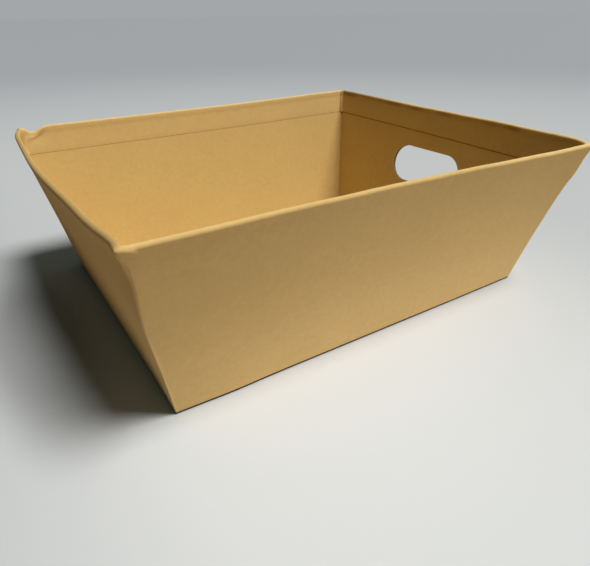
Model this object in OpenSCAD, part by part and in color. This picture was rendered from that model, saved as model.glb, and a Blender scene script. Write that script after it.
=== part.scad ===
// Open gift basket: a tapered tray folded from board and covered with paper, which is
// rolled over the rim and turned in as a band round the inside. One end wall has a hand hole.
// X runs along the length towards the end wall with the hole, Y runs along the width, and
// Z is up from the middle of the underside.

/* [Size] */
// Length of the underside, outside
base_length = 287; // [200:1:400]
// Width of the underside, outside
base_width = 227; // [160:1:320]
// Length over the end walls at the height of the rim
top_length = 335; // [290:1:460]
// Width over the long walls at the height of the rim
top_width = 284; // [230:1:380]
// Height from the underside to the top of the rim
height = 115; // [90:1:180]

/* [Board] */
// Thickness of the board in the walls and the base
board_thickness = 2.2; // [1.5:0.1:4]

/* [Cover paper] */
// Thickness of the cover paper
paper_thickness = 0.3; // [0.2:0.05:0.6]
// Height of the band that is turned in below the rim
band_height = 20.5; // [12:0.5:30]
// How far the roll of paper on the rim stands proud of the wall's two faces
rim_bulge = 0.45; // [0.35:0.05:1.5]
// How much further the gathered paper bulges at the rim's four corners
corner_bulge = 0.9; // [0.7:0.05:1.5]
// Air between the top edge of the board and the roll of paper above it
rim_gap = 0.5; // [0.4:0.05:1]
// Width of the paper that runs straight across each inside corner of the band
corner_bridge = 3; // [2:0.5:6]
// Height of the lower edge of the paper above the underside
paper_foot = 0.5; // [0.3:0.1:2]

/* [Hand hole] */
// Length of the hand hole
hole_length = 79; // [60:1:110]
// Height of the hand hole, measured on the wall
hole_height = 32.5; // [20:0.5:36]
// Distance on the wall from the top of the rim to the hole's upper edge
hole_drop = 36; // [32:1:45]

/* [Hidden] */
$fn = 64;

board_color = [0.72, 0.56, 0.31];
paper_color = [0.76, 0.59, 0.33];

// Lean of the end walls and of the long walls from upright
end_run = (top_length - base_length) / 2;
side_run = (top_width - base_width) / 2;
end_lean = atan(end_run / height);
side_lean = atan(side_run / height);

// Depths below the outer face of the cover paper
board_outer = paper_thickness;
board_inner = board_outer + board_thickness;
band_inner = board_inner + paper_thickness;

// The roll of paper is centred on the wall and its top is the top of the rim
roll_radius = band_inner / 2 + rim_bulge;
roll_hollow = roll_radius - paper_thickness;
roll_z = height - roll_radius;
corner_radius = roll_radius + corner_bulge;
corner_z = height - corner_radius;
board_top = roll_z + sqrt(pow(roll_hollow, 2) - pow(board_thickness / 2, 2)) - rim_gap;
band_foot = height - band_height;

// A length that clears the whole tray in any direction
reach = 2 * (top_length + top_width + height);
// Overshoot of a cut past the face that it leaves
past = 1;
// Length of the hand hole's cutter, which clears the leaning wall on both sides
cutter_length = 8 * band_inner;

// Half the length and half the width of the outer face at a height, moved in by a depth
function half_length(z, depth) = base_length / 2 + end_run * z / height - depth / cos(end_lean);
function half_width(z, depth) = base_width / 2 + side_run * z / height - depth / cos(side_lean);

// A tapered block between two heights, with its four walls a depth inside the outer face
module tapered(depth, z_low, z_high) {
    intersection() {
        rotate([90, 0, 0])
            linear_extrude(reach, center = true)
                polygon([
                    [-half_length(z_low, depth), z_low], [half_length(z_low, depth), z_low],
                    [half_length(z_high, depth), z_high], [-half_length(z_high, depth), z_high]
                ]);
        rotate([90, 0, 90])
            linear_extrude(reach, center = true)
                polygon([
                    [-half_width(z_low, depth), z_low], [half_width(z_low, depth), z_low],
                    [half_width(z_high, depth), z_high], [-half_width(z_high, depth), z_high]
                ]);
    }
}

// The four walls between two depths, open at the top and bottom
module wall_layer(outer_depth, inner_depth, z_low, z_high) {
    difference() {
        tapered(outer_depth, z_low, z_high);
        tapered(inner_depth, z_low - past, z_high + past);
    }
}

// The roll's outside or its hollow: rods along the rim, joined by a larger ball at each
// corner, all moved in by a depth
module rim_roll(depth) {
    radius = roll_radius - depth;
    x = half_length(roll_z, band_inner / 2);
    y = half_width(roll_z, band_inner / 2);
    for (side = [-1, 1]) {
        translate([side * x, 0, roll_z])
            rotate([90, 0, 0])
                cylinder(h = 2 * y, r = radius, center = true);
        translate([0, side * y, roll_z])
            rotate([0, 90, 0])
                cylinder(h = 2 * x, r = radius, center = true);
        for (end = [-1, 1])
            translate([end * x, side * y, corner_z])
                sphere(r = corner_radius - depth);
    }
}

// Oblong cutter through the right end wall, square to the wall
module hand_hole() {
    slope = hole_drop + hole_height / 2;
    z = height - slope * cos(end_lean);
    end = (hole_length - hole_height) / 2;
    translate([half_length(z, 0), 0, z])
        rotate([0, 90 + end_lean, 0])
            linear_extrude(cutter_length, center = true)
                union() {
                    square([hole_height, 2 * end], center = true);
                    translate([0, end])
                        circle(d = hole_height);
                    translate([0, -end])
                        circle(d = hole_height);
                }
}

// Everything beyond the plane that cuts off one inside corner of the band
module corner_side(distance) {
    x = half_length(height, band_inner);
    y = half_width(height, band_inner);
    tilt = atan((tan(end_lean) + tan(side_lean)) / sqrt(2));
    translate([x, y, height])
        rotate([0, 0, 45])
            rotate([0, tilt, 0])
                translate([-distance, -reach / 2, -reach / 2])
                    cube(reach);
}

// Paper that runs straight across an inside corner, and its gathered end under the rim
module corner_paper() {
    overlap = paper_thickness / 2;
    depth = corner_bridge / sqrt(2);
    intersection() {
        tapered(band_inner - overlap, band_foot, roll_z);
        difference() {
            corner_side(depth);
            corner_side(depth - paper_thickness);
        }
    }
    intersection() {
        tapered(band_inner - overlap, roll_z - roll_radius, roll_z + roll_radius / 2);
        corner_side(depth);
    }
}

module tray_board() {
    color(board_color)
        difference() {
            tapered(board_outer, 0, board_top);
            tapered(board_inner, board_thickness, board_top + past);
            hand_hole();
        }
}

module cover_paper() {
    color(paper_color)
        difference() {
            union() {
                wall_layer(0, board_outer, paper_foot, roll_z);
                wall_layer(board_inner, band_inner, band_foot, roll_z);
                difference() {
                    rim_roll(0);
                    wall_layer(board_outer, board_inner, roll_z - height / 2, board_top);
                }
                for (flip_x = [0, 1], flip_y = [0, 1])
                    mirror([flip_x, 0, 0])
                        mirror([0, flip_y, 0])
                            corner_paper();
            }
            rim_roll(paper_thickness);
            hand_hole();
        }
}

tray_board();
cover_paper();
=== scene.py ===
import math

import bmesh
import bpy
import numpy as np
from mathutils import Matrix, Vector, noise


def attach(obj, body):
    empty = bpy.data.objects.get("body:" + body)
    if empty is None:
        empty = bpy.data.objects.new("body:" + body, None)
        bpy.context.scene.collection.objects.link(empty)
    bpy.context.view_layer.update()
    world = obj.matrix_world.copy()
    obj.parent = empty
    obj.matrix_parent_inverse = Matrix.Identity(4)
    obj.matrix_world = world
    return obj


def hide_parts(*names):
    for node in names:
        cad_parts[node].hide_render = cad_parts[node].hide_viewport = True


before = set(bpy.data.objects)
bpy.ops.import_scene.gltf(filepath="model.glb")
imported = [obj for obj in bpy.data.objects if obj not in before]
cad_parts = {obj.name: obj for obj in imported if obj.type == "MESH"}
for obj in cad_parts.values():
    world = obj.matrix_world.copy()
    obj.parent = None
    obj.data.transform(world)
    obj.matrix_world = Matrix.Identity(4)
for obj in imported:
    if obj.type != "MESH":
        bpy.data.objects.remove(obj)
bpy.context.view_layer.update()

# Driving sizes of the tray, in metres, as in the part's source
MM = 0.001
BASE_LENGTH, BASE_WIDTH = 287 * MM, 227 * MM
TOP_LENGTH, TOP_WIDTH = 335 * MM, 284 * MM
HEIGHT = 115 * MM
BOARD = 2.2 * MM
PAPER = 0.3 * MM
BAND_HEIGHT = 20.5 * MM
HOLE_LENGTH, HOLE_HEIGHT, HOLE_DROP = 79 * MM, 32.5 * MM, 36 * MM

# Sizes that differ a little from the source, as the photograph shows them: how far the roll on the
# rim bulges, the paper's width across an inside corner, and the height of its lower edge outside
RIM_BULGE = 0.35 * MM
CORNER_BRIDGE = 2.2 * MM
PAPER_FOOT = 1.7 * MM

# Index 0 is the end walls, which cross X, and 1 is the long walls, which cross Y
BASE = (BASE_LENGTH, BASE_WIDTH)
RUN = ((TOP_LENGTH - BASE_LENGTH) / 2, (TOP_WIDTH - BASE_WIDTH) / 2)
LEAN = tuple(math.atan(run / HEIGHT) for run in RUN)

# Distances from the wall's middle plane, outwards positive
WALL_OUT = BOARD / 2 + PAPER
BOARD_OUT = BOARD / 2
ROLL_RADIUS = WALL_OUT + RIM_BULGE
ROLL_HOLLOW = ROLL_RADIUS - PAPER
ROLL_Z = HEIGHT - ROLL_RADIUS
BAND_FOOT = HEIGHT - BAND_HEIGHT
BOARD_TOP = ROLL_Z + 0.8 * MM

# Thickness of the band's pressed lower edge, and the height of the painted shadow line below it, on the end walls
# and on the long walls
BAND_EDGE = 0.16 * MM
SHADOW_LINE_HEIGHT = (0.95 * MM, 0.12 * MM)

# Rounding of the folded edges: upright outside at the foot and at the rim, inside, and under the base
EDGE_OUT = 0.4 * MM
EDGE_RIM = 1.7 * MM
EDGE_IN = 0.7 * MM
FOOT_ROUND = 0.5 * MM
FLOOR_FILLET = 1.6 * MM
# Air between the hidden faces of the paper and of the board, so that they don't coincide
FACE_GAP = 0.02 * MM
# How round the paper is where it bridges an inside corner: 0 is flat and 1 is a quarter circle
BRIDGE_ARC = 0.1
# Points round a corner, and the length beside it where the points lie closer together
CORNER_STEPS = 10
CORNER_ZONE = 30 * MM

# Colours of the paper and of the board's own face, of the painted light and shade on them, and of the board's raw
# cut edge
PAPER_COLOR, PAPER_SHADE = (0.62, 0.42, 0.156), (0.59, 0.398, 0.145)
# Pale paper on the rim and the upright edges, part rubbed wear and part painted highlight, and the painted shade
PAPER_WEAR_AND_HIGHLIGHT, PAPER_PAINTED_SHADE = (0.72, 0.51, 0.215), (0.33, 0.21, 0.066)
BOARD_COLOR, BOARD_SHADE = (0.61, 0.415, 0.145), (0.585, 0.393, 0.136)
# Painted shadow under the band's lower edge and in the folds of its bridged corners
SHADOW_LINE_COLOR = (0.33, 0.19, 0.05)
# Painted shadow on the board below the paper's lower edge outside, where the tray stands on the floor
FOOT_SHADOW_COLOR = (0.012, 0.006, 0.003)
CUT_DARK, CUT_LIGHT = (0.12, 0.085, 0.05), (0.24, 0.18, 0.11)
BLACK = (0, 0, 0)
# Names of the layers that store where the paper is made pale, part by rubbed wear and part by painted highlight, and
# where painted shade darkens it
WEAR_AND_HIGHLIGHT, PAINTED_SHADE = "wear_and_highlight", "painted_shade"

# Key light: where it comes from, how wide it is in degrees, and its strength
KEY_FROM = (0.27, -0.33, 1.0)
KEY_ANGLE = 24
KEY_COLOR = (4.12, 4.06, 4.02)
# Surround: the direction and the strength of each broad lobe, and what the camera sees instead
LOBES = (
    ((0.9, 0, 0.43), (0.15, 0.16, 0.17)),
    ((0, 0.9, 0.43), (0.06, 0.07, 0.075)),
    ((-0.1, 0, 1), (0.058, 0.085, 0.068)),
)
BACKDROP = (0.37, 0.383, 0.4, 1)

# Floor as the camera sees it, a painted pool of light: its colours from the middle outwards, and where they change
FLOOR_CENTRE = (-0.06, -0.18, 0.0)
FLOOR_LIGHT = (0.57, 0.585, 0.58)
FLOOR_MIDDLE = (0.425, 0.44, 0.44)
FLOOR_FAR = (0.285, 0.295, 0.31)
MIDDLE_RANGE, FAR_RANGE = (0.0, 0.42), (0.4, 2.2)
# Painted shade on it: a darker left side, and a darker patch that widens the tray's shadow to the left
LEFT_RANGE, LEFT_DARKNESS = (-0.26, -0.14), 0.12
SHADE_CENTRE, SHADE_STRETCH = (-0.196, 0.005, 0.0), (3, 1, 1)
SHADE_RANGE, SHADE_DARKNESS = (0.055, 0.15), 0.4
# Floor as the tray's walls see it
BOUNCE_CENTRE, BOUNCE_STRETCH = (0.05, -0.13, 0.0), (0.7, 1.2, 1)
BOUNCE_NEAR = (0.895, 0.89, 0.93)
BOUNCE_FAR = (0.352, 0.283, 0.218)
BOUNCE_RANGE = (0.07, 0.27)

# Camera, fitted to the photograph: its place, its yaw, pitch and roll in degrees, and its lens
CAMERA_PLACE = (-0.2051, -0.3273, 0.1944)
CAMERA_TURNS = (33.13, 28.13, -0.61)
CAMERA_LENS = 30.91


def smooth(x, low, high):
    """0 below low, 1 above high, and a smooth step between."""
    t = np.clip((np.asarray(x, float) - low) / (high - low), 0, 1)
    return t * t * (3 - 2 * t)


def bump(x, centre, width):
    """A bell of height 1."""
    return np.exp(-(((x - centre) / width) ** 2))


def half_extent(wall, z, out):
    """Half the distance between two opposite walls at a height, out from their middle planes."""
    return BASE[wall] / 2 + RUN[wall] * z / HEIGHT + (out - WALL_OUT) / math.cos(LEAN[wall])


def edge_radius(z):
    """Radius of the upright folds on the outside, which are softer towards the rim."""
    return EDGE_OUT + (EDGE_RIM - EDGE_OUT) * float(smooth(z, 0.4 * HEIGHT, 0.85 * HEIGHT))


def wall_row(out, z, corner, arc=1.0):
    """A ring on the walls: its extents and heights on both pairs of walls, and its corners."""
    return [(half_extent(w, z, out), z) for w in (0, 1)] + [(corner, arc)]


def roll_row(out, up, corner, arc=1.0):
    """A ring near the rim, placed out from the wall's middle and up along it from the roll's axis."""
    row = []
    for w in (0, 1):
        across = half_extent(w, ROLL_Z, 0) + out * math.cos(LEAN[w]) + up * math.sin(LEAN[w])
        row.append((across, ROLL_Z + up * math.cos(LEAN[w]) - out * math.sin(LEAN[w])))
    return row + [(corner, arc)]


def wall_stations(wall):
    """Places along a wall from -1 to 1, closer together near the corners."""
    length = 2 * half_extent(wall, HEIGHT, 0)
    fine = CORNER_ZONE * np.linspace(0, 1, 44) ** 1.4
    coarse = np.linspace(CORNER_ZONE, length - CORNER_ZONE, int((length - 2 * CORNER_ZONE) / (3.2 * MM)))
    places = np.concatenate([fine, coarse[1:-1], length - fine[::-1]])
    return places / length * 2 - 1


ALONG_LONG = wall_stations(0)
ALONG_END = wall_stations(1)


def ring(row):
    """Points of one ring, from the front wall round by the right end."""
    (ex, zx), (ey, zy), (radius, arc) = row
    angles = np.linspace(0, math.pi / 2, CORNER_STEPS)[1:-1]
    parts = []
    for quarter in range(4):
        long_wall = quarter % 2 == 0
        along = ALONG_LONG if long_wall else ALONG_END
        reach = (ex if long_wall else ey) - radius
        depth, z = (ey, zy) if long_wall else (ex, zx)
        z_next = zx if long_wall else zy
        straight = np.stack([along * reach, np.full_like(along, -depth), np.full_like(along, z)], -1)
        round_x = reach + radius * np.sin(angles)
        round_y = -(depth - radius) - radius * np.cos(angles)
        t = angles / (math.pi / 2)
        flat_x, flat_y = reach + radius * t, -depth + radius * t
        corner = np.stack(
            [arc * round_x + (1 - arc) * flat_x, arc * round_y + (1 - arc) * flat_y, z + (z_next - z) * t], -1)
        turn = quarter * math.pi / 2
        c, s = round(math.cos(turn)), round(math.sin(turn))
        both = np.concatenate([straight, corner])
        parts.append(np.stack([c * both[:, 0] - s * both[:, 1], s * both[:, 0] + c * both[:, 1], both[:, 2]], -1))
    return np.concatenate(parts)


def new_piece(name, points, faces):
    """A new object in the scene, with a mesh of its own."""
    mesh = bpy.data.meshes.new(name)
    mesh.from_pydata(points, [], faces)
    piece = bpy.data.objects.new(name, mesh)
    bpy.context.scene.collection.objects.link(piece)
    return piece


def loft(name, rows, closed):
    """A mesh through the rings. A closed one joins the last ring to the first, an open one gets end caps."""
    rings = [ring(row) for row in rows]
    count = len(rings[0])
    points = np.concatenate(rings)
    faces = []
    last = len(rings) if closed else len(rings) - 1
    around = np.arange(count)
    ahead = np.roll(around, -1)
    for i in range(last):
        a, b = i * count, (i + 1) % len(rings) * count
        faces += np.stack([a + around, a + ahead, b + ahead, b + around], -1).tolist()
    if not closed:
        faces.append(around[::-1].tolist())
        faces.append((around + (len(rings) - 1) * count).tolist())
    piece = new_piece(name, points.tolist(), faces)
    piece.data.validate()
    return piece


def cover_rows():
    """Rings of the cover paper: up the outside, over the rim, down the band and back within the paper."""
    rows = []
    for z in np.linspace(PAPER_FOOT, BAND_FOOT + 4 * MM, 34):
        rows.append(wall_row(WALL_OUT, z, edge_radius(z)))
    start = -10 * MM
    for up in np.linspace(start, -1.2 * MM, 10):
        out = WALL_OUT + RIM_BULGE * float(smooth(up, start, -0.6 * MM))
        rows.append(roll_row(out, up, EDGE_RIM))
    for phi in np.radians(np.linspace(-14, 194, 17)):
        out, up = ROLL_RADIUS * math.cos(phi), ROLL_RADIUS * math.sin(phi)
        mix = float(smooth(out, -ROLL_RADIUS, ROLL_RADIUS))
        radius = CORNER_BRIDGE * (1 - mix) + EDGE_RIM * mix
        rows.append(roll_row(out, up, radius, BRIDGE_ARC + (1 - BRIDGE_ARC) * mix))
    for up in np.linspace(-1.4 * MM, -6 * MM, 6):
        out = WALL_OUT + RIM_BULGE * float(smooth(up, -5 * MM, -0.6 * MM))
        rows.append(roll_row(-out, up, CORNER_BRIDGE, BRIDGE_ARC))
    for z in np.linspace(HEIGHT - 9 * MM, BAND_FOOT + 2.2 * MM, 7):
        rows.append(wall_row(-WALL_OUT, z, CORNER_BRIDGE, BRIDGE_ARC))
    half_pressed = -BOARD_OUT - 0.5 * (PAPER + BAND_EDGE)
    rows.append(wall_row(half_pressed, BAND_FOOT + 0.8 * MM, CORNER_BRIDGE, BRIDGE_ARC))
    rows.append(wall_row(-BOARD_OUT - BAND_EDGE, BAND_FOOT, CORNER_BRIDGE, BRIDGE_ARC))
    back = CORNER_BRIDGE + PAPER
    for z in (BAND_FOOT, BAND_FOOT + 2.2 * MM, BAND_FOOT + 8 * MM):
        rows.append(wall_row(-BOARD_OUT - FACE_GAP, z, back, BRIDGE_ARC))
    rows.append(roll_row(-BOARD_OUT, -2.2 * MM, back, BRIDGE_ARC))
    for phi in np.radians(np.linspace(180, 0, 7)):
        out, up = ROLL_HOLLOW * math.cos(phi), ROLL_HOLLOW * math.sin(phi)
        mix = float(smooth(out, -ROLL_HOLLOW, ROLL_HOLLOW))
        radius = back * (1 - mix) + (EDGE_RIM - PAPER) * mix
        rows.append(roll_row(out, up, radius, BRIDGE_ARC + (1 - BRIDGE_ARC) * mix))
    rows.append(roll_row(BOARD_OUT + FACE_GAP, -2.2 * MM, EDGE_RIM - PAPER))
    for z in (BAND_FOOT, 0.7 * HEIGHT, 0.6 * HEIGHT, 0.5 * HEIGHT, 0.4 * HEIGHT, PAPER_FOOT):
        rows.append(wall_row(BOARD_OUT + FACE_GAP, z, edge_radius(z) - PAPER))
    return rows


def board_rows():
    """Rings of the board, from the middle of the underside round the rim to the middle of the floor."""
    rows = []
    edge = EDGE_OUT - PAPER
    shrink = (0.35, 0.5, 0.65, 0.8, 0.9, 0.96, 0.99)
    under = [half_extent(w, 0, BOARD_OUT) - FOOT_ROUND for w in (0, 1)]
    for part in shrink:
        rows.append([(under[0] * part, 0.0), (under[1] * part, 0.0), (edge, 1.0)])
    for angle in np.radians((0, 18, 36, 54, 72, 90)):
        inward, z = FOOT_ROUND * (1 - math.sin(angle)), FOOT_ROUND * (1 - math.cos(angle))
        rows.append(wall_row(BOARD_OUT - inward, z, edge))
    rows.append(wall_row(BOARD_OUT, PAPER_FOOT + 0.05 * MM, edge))
    for z in np.linspace(3 * MM, BOARD_TOP, 36):
        rows.append(wall_row(BOARD_OUT, z, edge_radius(z) - PAPER))
    rows.append(wall_row(0, BOARD_TOP + 0.2 * MM, EDGE_IN))
    for z in np.linspace(BOARD_TOP, BAND_FOOT + 1 * MM, 6):
        rows.append(wall_row(-BOARD_OUT, z, EDGE_IN))
    # Rows at the lower edge of the painted shadow line under the band
    shadow_line = [BAND_FOOT - height for height in SHADOW_LINE_HEIGHT]
    rows.append([(half_extent(w, shadow_line[w], -BOARD_OUT), shadow_line[w]) for w in (0, 1)] + [(EDGE_IN, 1.0)])
    for z in np.linspace(BAND_FOOT - 2 * max(SHADOW_LINE_HEIGHT), BOARD + FLOOR_FILLET, 34):
        rows.append(wall_row(-BOARD_OUT, z, EDGE_IN))
    for angle in np.radians((22, 45, 68)):
        inward, up = FLOOR_FILLET * (1 - math.cos(angle)), FLOOR_FILLET * (1 - math.sin(angle))
        rows.append(wall_row(-BOARD_OUT - inward, BOARD + up, EDGE_IN))
    floor = [half_extent(w, BOARD, -BOARD_OUT) - FLOOR_FILLET for w in (0, 1)]
    for part in shrink[::-1]:
        rows.append([(floor[0] * part, BOARD), (floor[1] * part, BOARD), (EDGE_IN, 1.0)])
    return rows


def hole_cutter():
    """Oblong cutter for the right end wall, with a softened mouth at the outer face."""
    radius, straight = HOLE_HEIGHT / 2, (HOLE_LENGTH - HOLE_HEIGHT) / 2
    slope = HOLE_DROP + radius
    z = HEIGHT - slope * math.cos(LEAN[0])
    centre = Vector((half_extent(0, z, 0), 0, z))
    normal = Vector((math.cos(LEAN[0]), 0, -math.sin(LEAN[0])))
    up = Vector((math.sin(LEAN[0]), 0, math.cos(LEAN[0])))
    across = Vector((0, 1, 0))
    beyond, mouth = 8 * MM, 0.36 * MM
    levels = [(-beyond, 0.0), (WALL_OUT - 0.42 * MM, 0.0), (WALL_OUT - 0.24 * MM, 0.05 * MM),
              (WALL_OUT - 0.1 * MM, 0.15 * MM), (WALL_OUT, mouth), (WALL_OUT + beyond, mouth)]
    steps = 28
    outline = []
    for end in (1, -1):
        for k in range(steps + 1):
            angle = math.pi * k / steps - math.pi / 2
            outline.append((end, math.cos(angle) * end, math.sin(angle) * end))
    points, faces = [], []
    for out, grow in levels:
        for end, c, s in outline:
            sideways = end * straight + (radius + grow) * c
            points.append(tuple(centre + normal * out + across * sideways + up * (radius + grow) * s))
    n = len(outline)
    for i in range(len(levels) - 1):
        for k in range(n):
            m = (k + 1) % n
            faces.append((i * n + k, i * n + m, (i + 1) * n + m, (i + 1) * n + k))
    faces.append(tuple(range(n))[::-1])
    faces.append(tuple(range((len(levels) - 1) * n, len(levels) * n)))
    cutter = new_piece("hole_cutter", points, faces)
    face_outwards(cutter)
    return cutter


def face_outwards(piece):
    """Turns all faces of a closed mesh outwards."""
    work = bmesh.new()
    work.from_mesh(piece.data)
    bmesh.ops.recalc_face_normals(work, faces=work.faces)
    work.to_mesh(piece.data)
    work.free()


def cut_hand_hole(piece, piece_slots):
    """Cuts the hand hole through a piece. The cut faces take the second material slot."""
    face_outwards(piece)
    cutter = hole_cutter()
    for owner in (piece, cutter):
        for material in piece_slots:
            owner.data.materials.append(material)
    cutter.data.polygons.foreach_set("material_index", [1] * len(cutter.data.polygons))
    cut = piece.modifiers.new("hand_hole", "BOOLEAN")
    cut.operation, cut.solver, cut.object = "DIFFERENCE", "EXACT", cutter
    graph = bpy.context.evaluated_depsgraph_get()
    mesh = bpy.data.meshes.new_from_object(piece.evaluated_get(graph))
    piece.modifiers.clear()
    piece.data = mesh
    bpy.data.objects.remove(cutter)


def read_points(piece):
    points = np.empty(len(piece.data.vertices) * 3)
    piece.data.vertices.foreach_get("co", points)
    return points.reshape(-1, 3)


def write_points(piece, points):
    piece.data.vertices.foreach_set("co", points.ravel())
    piece.data.update()


def corner_places(points, side_x, side_y):
    """Distances from one upright edge, along the long wall and along the end wall."""
    z = points[:, 2]
    along_long = BASE_LENGTH / 2 + RUN[0] * z / HEIGHT - side_x * points[:, 0]
    along_end = BASE_WIDTH / 2 + RUN[1] * z / HEIGHT - side_y * points[:, 1]
    return along_long, along_end


def noise_row(points, size, seed):
    """Smooth noise from -1 to 1 at each point, with features of a given size."""
    shift = Vector((seed * 7.3, seed * 3.1, seed * 5.7))
    return np.array([noise.noise(Vector(p) / size + shift) for p in points])


def spread(places, along_long, along_end):
    """A bell of height 1 at one upright edge, with its width on the long wall and on the end wall."""
    return np.exp(-((places[0] / along_long) ** 2) - (places[1] / along_end) ** 2)


def settle(points):
    """Bends the tray as handling has bent it: soft corners, a wavy rim and slightly bowed walls."""
    x, z = points[:, 0], points[:, 2]
    moved = points.copy()
    near_rim = smooth(z, HEIGHT - 12 * MM, HEIGHT - 1 * MM)
    upper_half = smooth(z, 0.5 * HEIGHT, HEIGHT)
    front_right = corner_places(points, 1, -1)
    back_right = corner_places(points, 1, 1)
    back_left = corner_places(points, -1, 1)
    front_left = corner_places(points, -1, -1)

    # The front right corner is splayed and hangs down, most of all at its tip
    splay = 0.45 * spread(front_right, 125 * MM, 60 * MM) + 0.55 * spread(front_right, 125 * MM, 9 * MM)
    moved[:, 2] -= 4.2 * MM * splay * upper_half
    moved[:, 0] += 1.2 * MM * spread(front_right, 20 * MM, 30 * MM) * upper_half

    # The back right corner stands up a little
    lift = 2.0 * spread(back_right, 90 * MM, 130 * MM) + 1.1 * spread(back_right, 230 * MM, 60 * MM)
    moved[:, 2] += MM * lift * upper_half

    # The back left corner is pinched in, and the back rim dips beside it
    moved[:, 0] += 4.4 * MM * spread(back_left, 11 * MM, 16 * MM) * smooth(z, HEIGHT - 17 * MM, HEIGHT - 2 * MM)
    dip = bump(back_left[0], 14.5 * MM, 7 * MM) * (1 - smooth(back_left[1], 4 * MM, 9 * MM))
    moved[:, 2] -= 3.9 * MM * dip * smooth(z, HEIGHT - 16 * MM, HEIGHT - 1 * MM)
    fold_line = (HEIGHT - z) + 0.45 * (back_left[0] - 24 * MM)
    fold = bump(fold_line, 0, 2 * MM) * smooth(back_left[0], 3 * MM, 9 * MM)
    fold *= 1 - smooth(back_left[0], 22 * MM, 28 * MM)
    moved[:, 1] -= 0.7 * MM * fold * (1 - smooth(back_left[1], 4 * MM, 8 * MM))

    # The left wall is bowed in at its foot and beside the front left corner
    moved[:, 0] += 1.4 * MM * spread(back_left, 60 * MM, 110 * MM) * (1 - smooth(z, 0.25 * HEIGHT, 0.9 * HEIGHT))
    moved[:, 0] += 2.9 * MM * spread(front_left, 20 * MM, 30 * MM) * smooth(z, 0.56 * HEIGHT, 0.92 * HEIGHT)
    moved[:, 0] -= 0.8 * MM * spread(front_left, 20 * MM, 30 * MM) * (1 - smooth(z, 0, 25 * MM))

    # The left rim is pressed outwards and sags, most of all towards the back
    on_left = (x < 0) * smooth(np.minimum(front_left[0], back_left[0]) * -1, -16 * MM, -4 * MM)
    pressed = bump(points[:, 1], 12 * MM, 84 * MM) + 0.11 * bump(points[:, 1], -100 * MM, 22 * MM)
    pressed *= (1 - smooth(points[:, 1], 100 * MM, 138 * MM)) * on_left
    moved[:, 0] -= 4.4 * MM * pressed * smooth(z, 0.35 * HEIGHT, HEIGHT)
    moved[:, 2] -= 1.2 * MM * pressed * near_rim

    # The paper on the rim is bulkier at the front left corner, as far as a small fold
    bulk = spread(front_left, 7 * MM, 8 * MM) * near_rim
    moved[:, 0] -= 1.8 * MM * bulk
    moved[:, 2] += 0.4 * MM * bulk
    bunched = smooth(front_left[0], 1 * MM, 5 * MM) * (1 - smooth(front_left[0], 5.5 * MM, 8 * MM))
    outside = 1 - smooth(front_left[1], 0.8 * MM, 1.8 * MM)
    moved[:, 1] -= 0.6 * MM * bunched * outside * bump(z, HEIGHT - 3.0 * MM, 1.3 * MM)

    # The band on the right wall is turned in deeper towards the front
    on_right = (x > 0) * smooth(np.minimum(front_right[0], back_right[0]) * -1, -16 * MM, -6 * MM)
    moved[:, 2] -= 2.0 * MM * on_right * (1 - smooth(points[:, 1], -110 * MM, 60 * MM)) * bump(z, BAND_FOOT, 8 * MM)

    # The front wall is bowed inwards between its corners, and its foot swells outwards
    middle = 1 - np.clip(abs(x) / (TOP_LENGTH / 2), 0, 1) ** 4
    front = 1 - smooth(front_left[1], 6 * MM, 16 * MM)
    moved[:, 1] += 2.0 * MM * middle * front * np.sin(np.pi * np.clip(z / HEIGHT, 0, 1))
    swell = 0.9 + 0.9 * bump(x, -112 * MM, 22 * MM)
    moved[:, 1] -= swell * MM * middle * front * (1 - smooth(z, 0, 16 * MM))

    # The rim is wavy
    around = points * (1, 1, 0)
    moved[:, 2] += near_rim * (0.25 * MM * noise_row(around, 30 * MM, 3) + 0.12 * MM * noise_row(around, 5 * MM, 11))
    return moved


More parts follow.
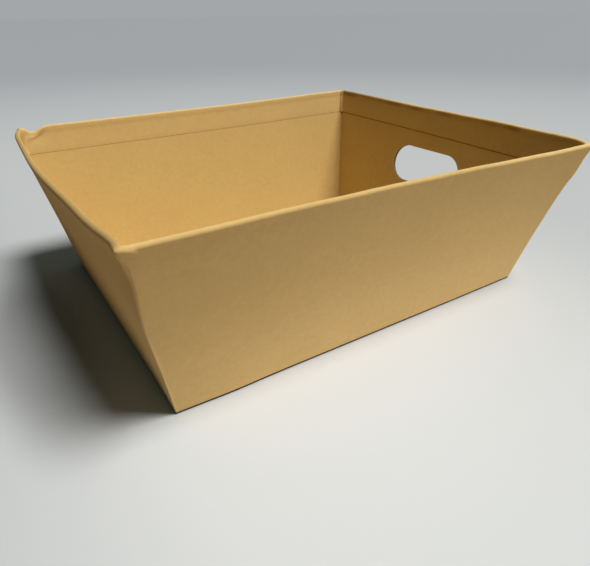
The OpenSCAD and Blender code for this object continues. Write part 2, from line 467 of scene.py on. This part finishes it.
def mark_wear_highlight_and_shade(piece):
    """Stores how pale each point is made along the rim and the upright edges, part rubbed wear and part painted
    highlight, and where painted shade darkens it.
    """
    points = read_points(piece)
    x, y, z = points.T
    # Pale rim, part rubbed wear and part painted highlight: growing towards the right on the front rim, a fixed
    # amount on the back rim, none on the left rim, and growing away from the back on the right rim
    rim = smooth(z, HEIGHT - 2.6 * MM, HEIGHT - 0.8 * MM)
    on_long = smooth(TOP_LENGTH / 2 - abs(x) - (TOP_WIDTH / 2 - abs(y)), -4 * MM, 4 * MM)
    from_back = TOP_WIDTH / 2 - y
    pale_rim_right = 0.6 * smooth(from_back, 40 * MM, 110 * MM)
    pale_rim_front = 0.6 * smooth(x, 30 * MM, 120 * MM)
    rim *= on_long * np.where(y < 0, pale_rim_front, 0.45) + (1 - on_long) * np.where(x < 0, 0, pale_rim_right)
    # Pale upright edges, part rubbed wear and part painted highlight, stronger in their lower half
    edges = sum(
        np.exp(-(sum(abs(d) for d in corner_places(points, sx, sy)) / (1.3 * MM)) ** 2)
        for sx in (1, -1) for sy in (1, -1))
    layer = piece.data.attributes.new(WEAR_AND_HIGHLIGHT, "FLOAT", "POINT")
    edges *= 0.5 + 0.4 * (1 - smooth(z, 0.35 * HEIGHT, 0.6 * HEIGHT))
    layer.data.foreach_set("value", np.clip(rim + edges, 0, 1))

    # Painted shade: the outside of the left wall darkens towards its rim, and so do the right rim beside the back
    # corner and patches of its inner side
    outside = smooth((abs(x) - half_extent(0, z, 0)) * math.cos(LEAN[0]), -1.7 * MM, -0.7 * MM)
    left = 0.3 * smooth(z, 0.45 * HEIGHT, 0.9 * HEIGHT) + 0.45 * smooth(z, HEIGHT - 4.5 * MM, HEIGHT - 2 * MM)
    right = 0.95 * smooth(z, HEIGHT - 3 * MM, HEIGHT - 1.2 * MM) * (1 - smooth(from_back, 40 * MM, 85 * MM))
    inner = smooth(z, HEIGHT - 5.2 * MM, HEIGHT - 3.6 * MM) * (1 - smooth(z, HEIGHT - 1.9 * MM, HEIGHT - 0.9 * MM))
    patches = np.clip(0.6 + 1.2 * noise_row(points * (1, 1, 0), 17 * MM, 5), 0, 1)
    right = np.maximum(right, 0.8 * inner * patches * (1 - outside))
    painted_shade = (1 - on_long) * np.where(x < 0, left * outside, right)
    layer = piece.data.attributes.new(PAINTED_SHADE, "FLOAT", "POINT")
    layer.data.foreach_set("value", painted_shade)


def principled(name):
    """A new material and its main shader."""
    material = bpy.data.materials.new(name)
    material.use_nodes = True
    return material, material.node_tree, material.node_tree.nodes["Principled BSDF"]


def mix_colors(tree, factor, first, second):
    """A colour mix. Each input is a socket, a colour or a number."""
    node = tree.nodes.new("ShaderNodeMix")
    node.data_type = "RGBA"
    for socket, value in ((node.inputs[0], factor), (node.inputs[6], first), (node.inputs[7], second)):
        if isinstance(value, bpy.types.NodeSocket):
            tree.links.new(value, socket)
        else:
            socket.default_value = value if isinstance(value, (int, float)) else (*value, 1)
    return node.outputs[2]


def map_range(tree, value, source, target, smooth_step=True):
    """A number mapped from one range to another."""
    node = tree.nodes.new("ShaderNodeMapRange")
    node.interpolation_type = "SMOOTHSTEP" if smooth_step else "LINEAR"
    tree.links.new(value, node.inputs["Value"])
    for name, number in zip(("From Min", "From Max", "To Min", "To Max"), (*source, *target)):
        node.inputs[name].default_value = number
    return node.outputs["Result"]


def paper_material(name, color, shade, fibre_depth, wear_and_highlight_color=None):
    """Matt uncoated paper: a mottled colour, fine short fibres, and when given a colour for them, pale edges that
    are part rubbed wear and part painted highlight, and painted shade; and a slightly uneven surface.
    """
    material, tree, shader = principled(name)
    nodes, links = tree.nodes, tree.links
    place = nodes.new("ShaderNodeTexCoord").outputs["Object"]

    def noise_node(scale, detail, stretch=(1, 1, 1), roughness=0.5):
        mapping = nodes.new("ShaderNodeMapping")
        mapping.inputs["Scale"].default_value = stretch
        links.new(place, mapping.inputs["Vector"])
        node = nodes.new("ShaderNodeTexNoise")
        node.inputs["Scale"].default_value = scale
        node.inputs["Detail"].default_value = detail
        node.inputs["Roughness"].default_value = roughness
        links.new(mapping.outputs["Vector"], node.inputs["Vector"])
        return node.outputs["Fac"]

    def ramp(value, low, high):
        return map_range(tree, value, (low, high), (0, 1), smooth_step=False)

    cloud = ramp(noise_node(18, 3), 0.3, 0.7)
    mottle = ramp(noise_node(260, 4), 0.3, 0.7)
    fibre_a = ramp(noise_node(900, 2, (1, 0.12, 0.9)), 0.62, 0.8)
    fibre_b = ramp(noise_node(900, 2, (0.14, 1, 0.8)), 0.62, 0.8)
    fibre_c = ramp(noise_node(900, 2, (0.9, 0.8, 0.13)), 0.62, 0.8)
    base = mix_colors(tree, cloud, color, shade)
    pale = tuple(min(1, c * 1.10) for c in color)
    deep = tuple(c * 0.84 for c in color)
    base = mix_colors(tree, mottle, mix_colors(tree, 0.5, base, deep), base)
    for fibre, tone, amount in ((fibre_a, pale, 0.35), (fibre_b, deep, 0.3), (fibre_c, pale, 0.35)):
        scaled = nodes.new("ShaderNodeMath")
        scaled.operation = "MULTIPLY"
        scaled.inputs[1].default_value = amount
        links.new(fibre, scaled.inputs[0])
        base = mix_colors(tree, scaled.outputs[0], base, tone)
    # Pale edges, part rubbed wear and part painted highlight, from one layer, then painted shade from another
    if wear_and_highlight_color:
        rubbed_and_lit = nodes.new("ShaderNodeAttribute")
        rubbed_and_lit.attribute_name = WEAR_AND_HIGHLIGHT
        patchy = nodes.new("ShaderNodeMath")
        patchy.operation = "MULTIPLY"
        links.new(rubbed_and_lit.outputs["Fac"], patchy.inputs[0])
        links.new(map_range(tree, noise_node(210, 3), (0.3, 0.62), (0.45, 1)), patchy.inputs[1])
        base = mix_colors(tree, patchy.outputs[0], base, wear_and_highlight_color)
        # Painted shade
        shade_layer = nodes.new("ShaderNodeAttribute")
        shade_layer.attribute_name = PAINTED_SHADE
        base = mix_colors(tree, shade_layer.outputs["Fac"], base, PAPER_PAINTED_SHADE)
    links.new(base, shader.inputs["Base Color"])
    shader.inputs["Roughness"].default_value = 0.82
    shader.inputs["Specular IOR Level"].default_value = 0.28

    fine = nodes.new("ShaderNodeBump")
    fine.inputs["Strength"].default_value = 0.28
    fine.inputs["Distance"].default_value = fibre_depth
    links.new(noise_node(1500, 5, roughness=0.65), fine.inputs["Height"])
    wide = nodes.new("ShaderNodeBump")
    wide.inputs["Strength"].default_value = 0.12
    wide.inputs["Distance"].default_value = 0.6 * MM
    links.new(noise_node(55, 2), wide.inputs["Height"])
    links.new(fine.outputs["Normal"], wide.inputs["Normal"])
    links.new(wide.outputs["Normal"], shader.inputs["Normal"])
    return material


def cut_edge_material():
    """The raw edge of the board where it is cut: grey brown and rough."""
    material, tree, shader = principled("cut_board_edge")
    place = tree.nodes.new("ShaderNodeTexCoord").outputs["Object"]
    layers = tree.nodes.new("ShaderNodeTexNoise")
    layers.inputs["Scale"].default_value = 1400
    layers.inputs["Detail"].default_value = 4
    tree.links.new(place, layers.inputs["Vector"])
    tone = mix_colors(tree, map_range(tree, layers.outputs["Fac"], (0.3, 0.7), (0, 1)), CUT_DARK, CUT_LIGHT)
    tree.links.new(tone, shader.inputs["Base Color"])
    shader.inputs["Roughness"].default_value = 0.9
    shader.inputs["Specular IOR Level"].default_value = 0.15
    rough = tree.nodes.new("ShaderNodeBump")
    rough.inputs["Strength"].default_value = 0.5
    rough.inputs["Distance"].default_value = 0.15 * MM
    tree.links.new(layers.outputs["Fac"], rough.inputs["Height"])
    tree.links.new(rough.outputs["Normal"], shader.inputs["Normal"])
    return material


def shade(piece):
    """Gives a piece smooth faces, with sharp edges where it folds hard."""
    piece.data.polygons.foreach_set("use_smooth", [True] * len(piece.data.polygons))
    piece.data.set_sharp_from_angle(angle=math.radians(28))


def paint_bridge_fold_shadow(piece, slot_number):
    """Paints shadow on the fold beside the bridged right corners of the band, with the material of a slot."""
    for face in piece.data.polygons:
        x, y, z = face.center
        fold = half_extent(0, z, -WALL_OUT) - CORNER_BRIDGE - abs(x)
        near_wall = half_extent(1, z, -WALL_OUT) - abs(y)
        on_fold = -0.05 * MM < fold < 1.1 * MM and abs(near_wall) < 0.8 * MM
        if x > 0 and on_fold and BAND_FOOT < z < HEIGHT - 2 * MM:
            face.material_index = slot_number


def make_cover(cut_edge):
    """The cover paper, with its roll on the rim and its band inside."""
    piece = loft("wrapped_cover_paper", cover_rows(), closed=True)
    paper = paper_material("ochre_paper", PAPER_COLOR, PAPER_SHADE, 0.12 * MM, wear_and_highlight_color=PAPER_WEAR_AND_HIGHLIGHT)
    # Painted shadow in the fold beside the bridged corners
    fold = paper_material("painted_fold_shadow", SHADOW_LINE_COLOR, SHADOW_LINE_COLOR, 0.1 * MM)
    cut_hand_hole(piece, (paper, cut_edge, fold))
    paint_bridge_fold_shadow(piece, slot_number=2)
    mark_wear_highlight_and_shade(piece)
    write_points(piece, settle(read_points(piece)))
    shade(piece)
    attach(piece, "root")
    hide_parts("cover_paper")


def is_inside(point):
    """Whether a point lies nearer to the tray's middle than the middle planes of all four walls."""
    return all(abs(point[w]) < half_extent(w, point[2], 0) for w in (0, 1))


def paint_band_and_foot_shadows(piece, shadow_line_slot, foot_shadow_slot):
    """Paints a shadow line on the strip of board right under the band, and a shadow on the edge that it stands on,
    each with a material of its own.
    """
    for face in piece.data.polygons:
        heights = [piece.data.vertices[i].co.z for i in face.vertices]
        wall = min((0, 1), key=lambda w: half_extent(w, face.center.z, 0) - abs(face.center[w]))
        low, high = BAND_FOOT - SHADOW_LINE_HEIGHT[wall], BAND_FOOT + 1 * MM
        # Painted shadow line under the band
        if min(heights) > low - 0.1 * MM and max(heights) < high + 0.1 * MM and is_inside(face.center):
            face.material_index = shadow_line_slot
        # Painted shadow at the foot, outside
        if 0 < max(heights) < PAPER_FOOT + 0.1 * MM and not is_inside(face.center):
            face.material_index = foot_shadow_slot


def make_board(cut_edge):
    """The folded board of the tray."""
    piece = loft("folded_tray_board", board_rows(), closed=False)
    face = paper_material("ochre_board_face", BOARD_COLOR, BOARD_SHADE, 0.1 * MM)
    # Painted shadow line under the band, and painted shadow at the foot
    shadow_line = paper_material("painted_shadow_line", SHADOW_LINE_COLOR, SHADOW_LINE_COLOR, 0.1 * MM)
    foot = paper_material("painted_foot_shadow", FOOT_SHADOW_COLOR, FOOT_SHADOW_COLOR, 0.1 * MM)
    cut_hand_hole(piece, (face, cut_edge, shadow_line, foot))
    paint_band_and_foot_shadows(piece, shadow_line_slot=2, foot_shadow_slot=3)
    write_points(piece, settle(read_points(piece)))
    shade(piece)
    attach(piece, "root")
    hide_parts("tray_board")


def make_floor():
    """A plain pale floor with a painted pool of light, lightest near the camera, and painted shade: a darker left
    side and a darker patch that widens the tray's shadow.

    Other surfaces see it in colours of its own, so that it throws most light on the front wall.
    """
    size = 30.0
    corners = [(-size, -size, 0), (size, -size, 0), (size, size, 0), (-size, size, 0)]
    floor = new_piece("floor", corners, [(0, 1, 2, 3)])
    material, tree, shader = principled("pale_floor")
    place = tree.nodes.new("ShaderNodeTexCoord").outputs["Object"]

    def distance_from(centre, stretch=(1, 1, 1)):
        apart = tree.nodes.new("ShaderNodeVectorMath")
        apart.operation = "SUBTRACT"
        apart.inputs[1].default_value = centre
        tree.links.new(place, apart.inputs[0])
        scaled = tree.nodes.new("ShaderNodeVectorMath")
        scaled.operation = "MULTIPLY"
        scaled.inputs[1].default_value = stretch
        tree.links.new(apart.outputs[0], scaled.inputs[0])
        length = tree.nodes.new("ShaderNodeVectorMath")
        length.operation = "LENGTH"
        tree.links.new(scaled.outputs[0], length.inputs[0])
        return length.outputs["Value"]

    middle = map_range(tree, distance_from(FLOOR_CENTRE), MIDDLE_RANGE, (0, 1))
    far = map_range(tree, distance_from(FLOOR_CENTRE), FAR_RANGE, (0, 1))
    seen_color = mix_colors(tree, middle, FLOOR_LIGHT, FLOOR_MIDDLE)
    seen_color = mix_colors(tree, far, seen_color, FLOOR_FAR)
    axes = tree.nodes.new("ShaderNodeSeparateXYZ")
    tree.links.new(place, axes.inputs[0])
    left = map_range(tree, axes.outputs["X"], LEFT_RANGE, (LEFT_DARKNESS, 0))
    seen_color = mix_colors(tree, left, seen_color, BLACK)
    shaded = map_range(tree, distance_from(SHADE_CENTRE, SHADE_STRETCH), SHADE_RANGE, (SHADE_DARKNESS, 0))
    seen_color = mix_colors(tree, shaded, seen_color, BLACK)
    bounce = map_range(tree, distance_from(BOUNCE_CENTRE, BOUNCE_STRETCH), BOUNCE_RANGE, (0, 1))
    bounce_color = mix_colors(tree, bounce, BOUNCE_NEAR, BOUNCE_FAR)
    seen = tree.nodes.new("ShaderNodeLightPath").outputs["Is Camera Ray"]
    tree.links.new(mix_colors(tree, seen, bounce_color, seen_color), shader.inputs["Base Color"])
    shader.inputs["Roughness"].default_value = 0.8
    shader.inputs["Specular IOR Level"].default_value = 0.2
    floor.data.materials.append(material)


def make_light():
    """A soft key light from above and the right, and a dim surround of a few broad lobes."""
    data = bpy.data.lights.new("key", "SUN")
    data.energy = 1.0
    data.color = KEY_COLOR
    data.angle = math.radians(KEY_ANGLE)
    key = bpy.data.objects.new("key", data)
    key.rotation_euler = Vector(KEY_FROM).to_track_quat("Z", "Y").to_euler()
    key.location = Vector(KEY_FROM).normalized() * 2
    bpy.context.scene.collection.objects.link(key)
    world = bpy.data.worlds.new("surround")
    world.use_nodes = True
    tree = world.node_tree
    direction = tree.nodes.new("ShaderNodeTexCoord").outputs["Generated"]
    total = None
    for axis, color in LOBES:
        facing = tree.nodes.new("ShaderNodeVectorMath")
        facing.operation = "DOT_PRODUCT"
        facing.inputs[1].default_value = Vector(axis).normalized()
        tree.links.new(direction, facing.inputs[0])
        lobe = tree.nodes.new("ShaderNodeMath")
        lobe.operation = "MAXIMUM"
        lobe.inputs[1].default_value = 0.0
        tree.links.new(facing.outputs["Value"], lobe.inputs[0])
        tinted = tree.nodes.new("ShaderNodeVectorMath")
        tinted.operation = "SCALE"
        tinted.inputs[0].default_value = color
        narrow = tree.nodes.new("ShaderNodeMath")
        narrow.operation = "POWER"
        narrow.inputs[1].default_value = 2.0
        tree.links.new(lobe.outputs[0], narrow.inputs[0])
        tree.links.new(narrow.outputs[0], tinted.inputs["Scale"])
        if total is None:
            total = tinted.outputs[0]
        else:
            added = tree.nodes.new("ShaderNodeVectorMath")
            added.operation = "ADD"
            tree.links.new(total, added.inputs[0])
            tree.links.new(tinted.outputs[0], added.inputs[1])
            total = added.outputs[0]
    surround = tree.nodes["Background"]
    tree.links.new(total, surround.inputs["Color"])
    backdrop = tree.nodes.new("ShaderNodeBackground")
    backdrop.inputs["Color"].default_value = BACKDROP
    seen = tree.nodes.new("ShaderNodeLightPath").outputs["Is Camera Ray"]
    pick = tree.nodes.new("ShaderNodeMixShader")
    tree.links.new(seen, pick.inputs[0])
    tree.links.new(surround.outputs[0], pick.inputs[1])
    tree.links.new(backdrop.outputs[0], pick.inputs[2])
    tree.links.new(pick.outputs[0], tree.nodes["World Output"].inputs["Surface"])
    bpy.context.scene.world = world


def make_camera():
    """Stands where the photographer stood: in front of the left end, looking down over the front wall."""
    yaw, pitch, roll = (math.radians(turn) for turn in CAMERA_TURNS)
    forward = Vector((math.sin(yaw) * math.cos(pitch), math.cos(yaw) * math.cos(pitch), -math.sin(pitch)))
    right = Vector((math.cos(yaw), -math.sin(yaw), 0))
    up = right.cross(forward)
    right, up = right * math.cos(roll) + up * math.sin(roll), up * math.cos(roll) - right * math.sin(roll)
    data = bpy.data.cameras.new("camera")
    data.sensor_width, data.lens = 36, CAMERA_LENS
    data.clip_start = 0.01
    camera = bpy.data.objects.new("camera", data)
    turned = Matrix((right, up, -forward)).transposed().to_4x4()
    camera.matrix_world = Matrix.Translation(CAMERA_PLACE) @ turned
    bpy.context.scene.collection.objects.link(camera)
    bpy.context.scene.camera = camera


make_camera()
make_light()
make_floor()
cut_edge = cut_edge_material()
make_board(cut_edge)
make_cover(cut_edge)
bpy.context.scene.view_settings.view_transform = "Standard"
bpy.context.view_layer.update()
